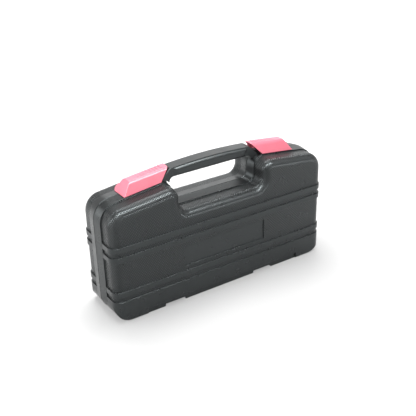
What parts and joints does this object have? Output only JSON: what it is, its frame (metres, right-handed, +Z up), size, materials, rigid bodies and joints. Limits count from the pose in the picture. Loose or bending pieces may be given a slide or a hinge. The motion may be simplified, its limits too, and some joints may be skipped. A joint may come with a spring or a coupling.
{
  "type": "power tool carry case",
  "caption": "Hard-shell carry case for a small woodworking joiner: hinged lid, flip latches, moulded carry handle and inner nest trays.",
  "frame": {"origin": "middle of the base, on the surface the closed case stands on", "axes": "+X along the length, to the right seen from the front; the front face looks towards -Y; +Z up to the handle"},
  "size_m": [0.3032, 0.072, 0.1622],
  "materials": {
    "case_plastic": "black moulded plastic, diamond-textured panels between smooth ribs",
    "handle_plastic": "smooth black plastic",
    "tray_plastic": "fine-grained black plastic",
    "latch_plastic": "pink plastic, ribbed on top",
    "pin_steel": "plain steel wire"
  },
  "bodies": {
    "rear_half": {"rear_shell": "case_plastic", "rear_tray": "tray_plastic", "handle": "handle_plastic", "left_latch_pin": "pin_steel", "right_latch_pin": "pin_steel", "left_hinge_pin": "pin_steel", "right_hinge_pin": "pin_steel"},
    "front_half": {"front_shell": "case_plastic", "front_tray": "tray_plastic"},
    "left_latch": {"left_latch": "latch_plastic"},
    "right_latch": {"right_latch": "latch_plastic"}
  },
  "joints": [
    {"name": "lid_hinge", "type": "hinge", "parent": "rear_half", "child": "front_half", "pos_m": [0, 0, 0.0042], "axis": [1, 0, 0], "range_deg": [0, 145]},
    {"name": "left_latch_hinge", "type": "hinge", "parent": "rear_half", "child": "left_latch", "pos_m": [-0.09499, 0.0096, 0.14839], "axis": [-0.9929, 0, -0.1191], "range_deg": [0, 100]},
    {"name": "right_latch_hinge", "type": "hinge", "parent": "rear_half", "child": "right_latch", "pos_m": [0.09499, 0.0096, 0.14839], "axis": [-0.9929, 0, 0.1191], "range_deg": [0, 100]}
  ]
}
